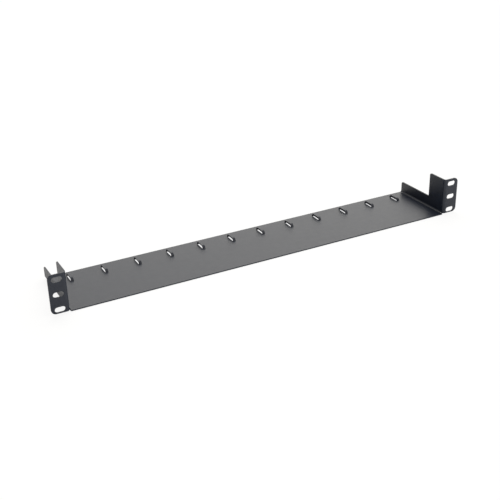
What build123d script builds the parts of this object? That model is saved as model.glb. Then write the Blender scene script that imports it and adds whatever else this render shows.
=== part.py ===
from build123d import *
from math import asin, atan2, cos, sin, tan
import os

# Rack cable tray: one folded steel sheet. A flat plate carries the cables, a side wall stands up at
# each end, and an ear is folded out from the tall front part of each wall. The ears screw to the
# front rails of a 19 inch rack. Along the rear edge a row of narrow bridges is lanced up out of the
# plate, and ties run under them, across the tray, to hold the cables down.
#
# Frame, in millimetres: X across the rack, Y from the front to the rear, Z up.
# Origin: middle of the width, on the plane of the ears' rear faces, at the plate's underside.

# Sheet, with the inner radius of its bends
sheet = 1.2
bend_radius = 2.0

# Whole tray, over the ears and from the front face to the rear edge
overall_width = 482.6
tray_depth = 78.6

# Side walls, heights from the plate's underside and depth from the front face
wall_height = 42.3
low_wall_height = 14.0
tall_wall_depth = 27.0
wall_corner_radius = 2.5
step_radius = 0.8

# Ears, outward from the walls' outer faces
ear_width = 17.15
ear_bottom = 1.0
ear_corner_radius = 5.0

# Relief cut between the ear's bend and the bend at the foot of the wall
relief_gap = 0.1
relief_width = 0.8

# Ear slots, one column in each ear
slot_length = 10.5
slot_width = 5.5
slot_edge_distance = 8.75
slot_rows = 3
slot_pitch = 15.875
top_slot_drop = 5.6

# Bridges, each between two cuts in the plate
bridge_count = 12
bridge_length = 16.2
bridge_width = 2.8
bridge_gap = 2.1
bridge_ramp = 1.2
bridge_root_radius = 0.5
bridge_crown_radius = 2.5
bridge_side_gap = 0.1
bridge_end_margin = 22.0
bridge_rear_margin = 6.0

# Places that follow from the sizes
outer_radius = bend_radius + sheet
half_width = overall_width / 2
half_body = half_width - ear_width
inner_wall_x = half_body - sheet
foot_bend_x = half_body - outer_radius
front_y = -sheet
rear_y = front_y + tray_depth
ear_bend_y = bend_radius
front_plane = Plane.XZ.offset(-front_y)
ear_bend_plane = Plane.XZ.offset(-ear_bend_y)


# Plate and side walls, folded up from one flat strip
with BuildPart() as tray:
    with BuildSketch(front_plane):
        with BuildLine():
            FilletPolyline(
                (-inner_wall_x, wall_height),
                (-inner_wall_x, sheet),
                (inner_wall_x, sheet),
                (inner_wall_x, wall_height),
                radius=bend_radius,
            )
            offset(amount=sheet, side=Side.RIGHT)
        make_face()
    extrude(amount=-tray_depth)

    # Side view: tall at the front, then a step down to the low wall
    with BuildSketch(Plane.YZ):
        with BuildLine():
            tall_wall_y = front_y + tall_wall_depth
            FilletPolyline(
                (front_y, 0),
                (front_y, wall_height),
                (tall_wall_y, wall_height),
                (tall_wall_y, low_wall_height),
                (rear_y, low_wall_height),
                (rear_y, 0),
                radius=[0, 0, wall_corner_radius, step_radius, wall_corner_radius, 0],
                close=True,
            )
        make_face()
    extrude(amount=half_width, both=True, mode=Mode.INTERSECT)

    # The ears take over in front of their bend. Below them the foot's bend runs on to the front edge,
    # and ends on a radial face just inside the ear.
    end_angle = asin((bend_radius - relief_gap) / outer_radius)
    cut_reach = outer_radius + sheet
    cut_corner = (foot_bend_x + cut_reach * sin(end_angle), outer_radius - cut_reach * cos(end_angle))
    cut_side = half_body + sheet
    with BuildSketch(front_plane):
        with BuildLine():
            Polyline(
                (foot_bend_x, outer_radius),
                cut_corner,
                (cut_side, cut_corner[1]),
                (cut_side, wall_height + sheet),
                (foot_bend_x, wall_height + sheet),
                close=True,
            )
        make_face()
        mirror(about=Plane.YZ)
    extrude(amount=-(ear_bend_y - front_y), mode=Mode.SUBTRACT)

    # Ears, folded outward from the tall walls
    with BuildSketch(Plane.XY.offset(ear_bottom)):
        with BuildLine():
            FilletPolyline(
                (half_width, 0),
                (half_body, 0),
                (half_body, ear_bend_y + relief_width / 2),
                radius=bend_radius,
            )
            offset(amount=sheet, side=Side.LEFT)
        make_face()
        mirror(about=Plane.YZ)
    extrude(amount=wall_height - ear_bottom)

    # Relief behind the ear's bend, up to the top of the foot's bend
    with BuildSketch(ear_bend_plane):
        with BuildLine():
            Polyline(
                (foot_bend_x, outer_radius),
                cut_corner,
                (cut_side, cut_corner[1]),
                (cut_side, outer_radius),
                close=True,
            )
        make_face()
        mirror(about=Plane.YZ)
    extrude(amount=-relief_width, mode=Mode.SUBTRACT)

    # Rounded outer corners of the ears
    ear_corners = tray.edges().filter_by(Axis.Y).group_by(Axis.X)
    fillet(ear_corners[0] + ear_corners[-1], ear_corner_radius)

    # Slots for the rack screws
    middle_slot_height = wall_height - top_slot_drop - (slot_rows - 1) / 2 * slot_pitch
    with BuildSketch(front_plane):
        with Locations((0, middle_slot_height)):
            with GridLocations(overall_width - 2 * slot_edge_distance, slot_pitch, 2, slot_rows):
                SlotOverall(slot_length, slot_width)
    extrude(amount=-sheet, mode=Mode.SUBTRACT)

    # Openings that the bridges are lanced from
    bridge_pitch = (2 * half_body - 2 * bridge_end_margin) / (bridge_count - 1)
    bridge_y = rear_y - bridge_rear_margin - bridge_length / 2
    with BuildSketch():
        with Locations((0, bridge_y)):
            with GridLocations(bridge_pitch, 0, bridge_count, 1):
                Rectangle(bridge_width + 2 * bridge_side_gap, bridge_length)
    extrude(amount=sheet, mode=Mode.SUBTRACT)

    # Bridges: the underside rises from each end of the opening and runs level between
    rise = sheet + bridge_gap
    foot_radius = bridge_root_radius + sheet
    foot_length = foot_radius * tan(atan2(rise, bridge_ramp) / 2)
    foot_y = bridge_length / 2 - foot_length
    crown_y = foot_y - bridge_ramp
    root_y = bridge_length / 2 + sheet
    bridge_planes = []
    for place in GridLocations(bridge_pitch, 0, bridge_count, 1):
        middle = (place.position.X, bridge_y, 0)
        bridge_planes.append(Plane(origin=middle, x_dir=(0, 1, 0), z_dir=(1, 0, 0)))
    with BuildSketch(*bridge_planes):
        with BuildLine():
            FilletPolyline(
                (-root_y, 0),
                (-foot_y, 0),
                (-crown_y, rise),
                (crown_y, rise),
                (foot_y, 0),
                (root_y, 0),
                radius=[foot_radius, bridge_crown_radius, bridge_crown_radius, foot_radius],
            )
            offset(amount=sheet, side=Side.LEFT)
        make_face()
    extrude(amount=bridge_width / 2, both=True)

tray.part.label = "rack_cable_tray"
os.makedirs("parts", exist_ok=True)
export_step(tray.part, "parts/rack_cable_tray.step")
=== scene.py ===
from math import cos, radians, sin

import bmesh
import bpy
from mathutils import Matrix, Vector

# Rack cable tray in black powder coat, lying on its plate on a white floor. Metres, in the part's frame.

# Camera, at the angle of the photograph. Angles in degrees, lens and sensor in millimetres.
CAMERA_PLACE = (-0.41788, -0.73585, 0.41998)
CAMERA_AZIMUTH = -27.858
CAMERA_ELEVATION = 25.878
CAMERA_ROLL = -1.217
CAMERA_LENS = 64.62
CAMERA_SENSOR = 36.0
CAMERA_REACH = 200.0

# Soft light, barely warm: wide pools in the sky, each with its direction, its spread (a higher power is
# narrower) and its strength
LIGHT_COLOUR = (1.0, 0.975, 0.92, 1.0)
BEHIND = ((0.22, 0.6, 0.8), 4.0, 2.3)
BEHIND_RIGHT = ((0.75, 0.6, 0.35), 4.0, 1.5)
HIGH_RIGHT = ((0.5, 0.5, 0.75), 4.0, 0.4)
HIGH_FRONT = ((0.1, -0.75, 0.65), 8.0, 0.95)
FRONT_RIGHT = ((0.7, -0.7, 0.2), 4.0, 1.25)
SKY = (BEHIND, BEHIND_RIGHT, HIGH_RIGHT, HIGH_FRONT, FRONT_RIGHT)

# White surroundings: shares of even white in what the camera sees, and in what is mirrored
WHITE = (1.0, 1.0, 1.0, 1.0)
BACKDROP_EVEN_SEEN = 1.0
FLOOR_EVEN_SEEN = 0.86
EVEN_MIRRORED = 0.3
FLOOR_SIZE = 60.0
FLOOR_DROP = 0.0002

# Powder coat: two near-black tones in faint clouds about 20 mm across
COAT_IOR = 1.5
COAT_DARK = (0.0018, 0.0060, 0.0185, 1.0)
COAT_LIGHT = (0.0030, 0.0078, 0.0225, 1.0)
CLOUD_SCALE = 45.0
CLOUD_DETAIL = 3.0

# Roughness of the coat, between two values in small patches
GLOSS_SMOOTH = 0.40
GLOSS_ROUGH = 0.46
PATCH_SCALE = 160.0
PATCH_DETAIL = 2.0

# Surface of the coat: orange peel a few millimetres across, with a finer grain in it
PEEL_SCALE = 420.0
PEEL_DETAIL = 2.0
PEEL_HEIGHT = 0.00003
GRAIN_SCALE = 2200.0
GRAIN_DETAIL = 1.0
GRAIN_HEIGHT = 0.000006

# Edges, rounded by the coat
EDGE_RADIUS = 0.0002
EDGE_SAMPLES = 4


def calculated(tree, operation, *values):
    """Result of a math node. Each value is a socket or a plain number."""
    node = tree.nodes.new("ShaderNodeMath")
    node.operation = operation
    for entry, value in zip(node.inputs, values):
        if isinstance(value, bpy.types.NodeSocket):
            tree.links.new(value, entry)
        else:
            entry.default_value = value
    return node.outputs["Value"]


def mixed(tree, share, first, second):
    """Two shaders mixed by the share of the second."""
    node = tree.nodes.new("ShaderNodeMixShader")
    tree.links.new(share, node.inputs["Fac"])
    tree.links.new(first, node.inputs[1])
    tree.links.new(second, node.inputs[2])
    return node.outputs["Shader"]


def white_shader(tree, kind):
    """A shader of the given kind, in white."""
    node = tree.nodes.new(kind)
    node.inputs["Color"].default_value = WHITE
    return node.outputs[0]


def even_share(tree, seen):
    """Share of even white: one value for the camera's rays, a lower one for mirrored and refracted rays."""
    path = tree.nodes.new("ShaderNodeLightPath").outputs
    mirrored = calculated(tree, "MAXIMUM", path["Is Glossy Ray"], path["Is Transmission Ray"])
    mirrored_share = calculated(tree, "MULTIPLY", mirrored, EVEN_MIRRORED)
    return calculated(tree, "MULTIPLY_ADD", path["Is Camera Ray"], seen, mirrored_share)


def sky_pool(tree, direction, axis, power, strength):
    """Light that is brightest along the axis and falls off smoothly around it."""
    facing = tree.nodes.new("ShaderNodeVectorMath")
    facing.operation = "DOT_PRODUCT"
    facing.inputs[1].default_value = Vector(axis).normalized()
    tree.links.new(direction, facing.inputs[0])
    in_front = calculated(tree, "MAXIMUM", facing.outputs["Value"], 0.0)
    spread = calculated(tree, "POWER", in_front, power)
    return calculated(tree, "MULTIPLY", spread, strength)


def make_sky():
    """Plain studio light: the pools added up, behind a backdrop that looks white."""
    world = bpy.data.worlds.new("studio")
    bpy.context.scene.world = world
    world.use_nodes = True
    tree = world.node_tree
    tree.nodes.clear()
    direction = tree.nodes.new("ShaderNodeTexCoord").outputs["Generated"]
    brightness = 0.0
    for axis, power, strength in SKY:
        pool = sky_pool(tree, direction, axis, power, strength)
        brightness = calculated(tree, "ADD", brightness, pool)
    light = tree.nodes.new("ShaderNodeBackground")
    light.inputs["Color"].default_value = LIGHT_COLOUR
    tree.links.new(brightness, light.inputs["Strength"])
    backdrop = white_shader(tree, "ShaderNodeBackground")
    shown = mixed(tree, even_share(tree, BACKDROP_EVEN_SEEN), light.outputs["Background"], backdrop)
    output = tree.nodes.new("ShaderNodeOutputWorld")
    tree.links.new(shown, output.inputs["Surface"])


def floor_material():
    """White floor that keeps a soft shadow, shows white in reflections, and is clear from below."""
    material = bpy.data.materials.new("floor")
    material.use_nodes = True
    tree = material.node_tree
    tree.nodes.clear()
    matt = white_shader(tree, "ShaderNodeBsdfDiffuse")
    even = white_shader(tree, "ShaderNodeEmission")
    clear = white_shader(tree, "ShaderNodeBsdfTransparent")
    below = tree.nodes.new("ShaderNodeNewGeometry").outputs["Backfacing"]
    upper = mixed(tree, even_share(tree, FLOOR_EVEN_SEEN), matt, even)
    output = tree.nodes.new("ShaderNodeOutputMaterial")
    tree.links.new(mixed(tree, below, upper, clear), output.inputs["Surface"])
    return material


def make_floor():
    """A wide floor just under the tray's plate."""
    mesh = bpy.data.meshes.new("floor")
    square = bmesh.new()
    bmesh.ops.create_grid(square, x_segments=1, y_segments=1, size=FLOOR_SIZE / 2)
    square.to_mesh(mesh)
    square.free()
    mesh.materials.append(floor_material())
    floor = bpy.data.objects.new("floor", mesh)
    floor.location.z = -FLOOR_DROP
    bpy.context.collection.objects.link(floor)


def noise(tree, place, scale, detail):
    """Noise from 0 to 1 over the surface, with about this many waves to the metre."""
    node = tree.nodes.new("ShaderNodeTexNoise")
    node.inputs["Scale"].default_value = scale
    node.inputs["Detail"].default_value = detail
    tree.links.new(place, node.inputs["Vector"])
    return node.outputs["Fac"]


def bump(tree, height, distance, normal):
    """The normal, tilted by the height."""
    node = tree.nodes.new("ShaderNodeBump")
    node.inputs["Distance"].default_value = distance
    tree.links.new(height, node.inputs["Height"])
    tree.links.new(normal, node.inputs["Normal"])
    return node.outputs["Normal"]


def powder_coat():
    """Satin black powder coat with a cold cast, faint clouds and orange peel."""
    material = bpy.data.materials.new("powder_coat")
    material.use_nodes = True
    tree = material.node_tree
    shader = tree.nodes["Principled BSDF"]
    shader.inputs["IOR"].default_value = COAT_IOR
    place = tree.nodes.new("ShaderNodeTexCoord").outputs["Object"]

    colour = tree.nodes.new("ShaderNodeMix")
    colour.data_type = "RGBA"
    colour.inputs["A"].default_value = COAT_DARK
    colour.inputs["B"].default_value = COAT_LIGHT
    tree.links.new(noise(tree, place, CLOUD_SCALE, CLOUD_DETAIL), colour.inputs["Factor"])
    tree.links.new(colour.outputs["Result"], shader.inputs["Base Color"])

    gloss = tree.nodes.new("ShaderNodeMapRange")
    gloss.inputs["To Min"].default_value = GLOSS_SMOOTH
    gloss.inputs["To Max"].default_value = GLOSS_ROUGH
    tree.links.new(noise(tree, place, PATCH_SCALE, PATCH_DETAIL), gloss.inputs["Value"])
    tree.links.new(gloss.outputs["Result"], shader.inputs["Roughness"])

    edge = tree.nodes.new("ShaderNodeBevel")
    edge.samples = EDGE_SAMPLES
    edge.inputs["Radius"].default_value = EDGE_RADIUS
    peel = bump(tree, noise(tree, place, PEEL_SCALE, PEEL_DETAIL), PEEL_HEIGHT, edge.outputs["Normal"])
    grain = bump(tree, noise(tree, place, GRAIN_SCALE, GRAIN_DETAIL), GRAIN_HEIGHT, peel)
    tree.links.new(grain, shader.inputs["Normal"])
    return material


def make_camera():
    """The photograph's camera, turned a little about its own axis."""
    azimuth = radians(CAMERA_AZIMUTH)
    elevation = radians(CAMERA_ELEVATION)
    roll = radians(CAMERA_ROLL)
    back = Vector((sin(azimuth) * cos(elevation), -cos(azimuth) * cos(elevation), sin(elevation)))
    level = (-back).cross(Vector((0.0, 0.0, 1.0))).normalized()
    upright = level.cross(-back)
    right = cos(roll) * level + sin(roll) * upright
    up = cos(roll) * upright - sin(roll) * level
    data = bpy.data.cameras.new("camera")
    data.sensor_width = CAMERA_SENSOR
    data.lens = CAMERA_LENS
    data.clip_end = CAMERA_REACH
    camera = bpy.data.objects.new("camera", data)
    turn = Matrix((right, up, back)).transposed().to_4x4()
    camera.matrix_world = Matrix.Translation(CAMERA_PLACE) @ turn
    bpy.context.collection.objects.link(camera)
    bpy.context.scene.camera = camera


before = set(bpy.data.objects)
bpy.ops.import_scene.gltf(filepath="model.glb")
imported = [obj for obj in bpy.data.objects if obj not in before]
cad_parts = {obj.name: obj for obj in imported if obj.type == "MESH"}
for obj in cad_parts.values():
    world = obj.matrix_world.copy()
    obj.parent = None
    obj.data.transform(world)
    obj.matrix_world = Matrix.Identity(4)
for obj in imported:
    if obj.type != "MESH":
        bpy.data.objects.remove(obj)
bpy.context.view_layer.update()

bpy.context.scene.view_settings.view_transform = "Standard"
make_camera()
make_sky()
make_floor()
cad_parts["rack_cable_tray"].data.materials[0] = powder_coat()
